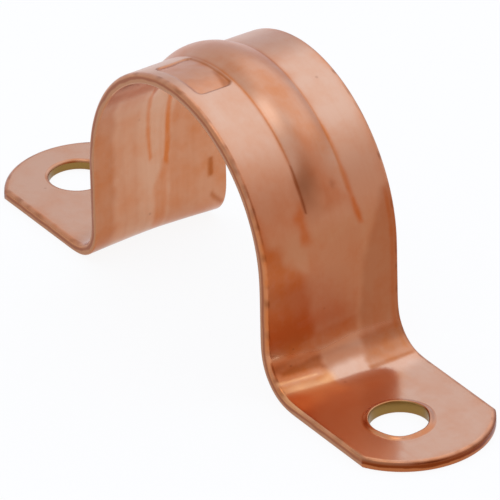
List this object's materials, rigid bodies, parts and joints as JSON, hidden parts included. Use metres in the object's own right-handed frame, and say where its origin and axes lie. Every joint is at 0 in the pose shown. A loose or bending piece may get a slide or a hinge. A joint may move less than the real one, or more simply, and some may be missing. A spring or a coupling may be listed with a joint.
{
  "type": "pipe clip",
  "caption": "Copper saddle clip: a strip bent over a tube into an arch with two flat round-ended feet, a stiffening bead along the crown and a screw hole in each foot.",
  "frame": {"origin": "on the wall face under the feet, midway between the two tips and midway across the strip", "axes": "+X from the sharper-bent foot to the softer-bent foot, +Y along the tube, +Z away from the wall"},
  "size_m": [0.0556, 0.012, 0.0215],
  "materials": {
    "bright_copper": "bright rolled copper, lightly tarnished"
  },
  "bodies": {
    "root": {"saddle_clip": "bright_copper"}
  },
  "joints": []
}
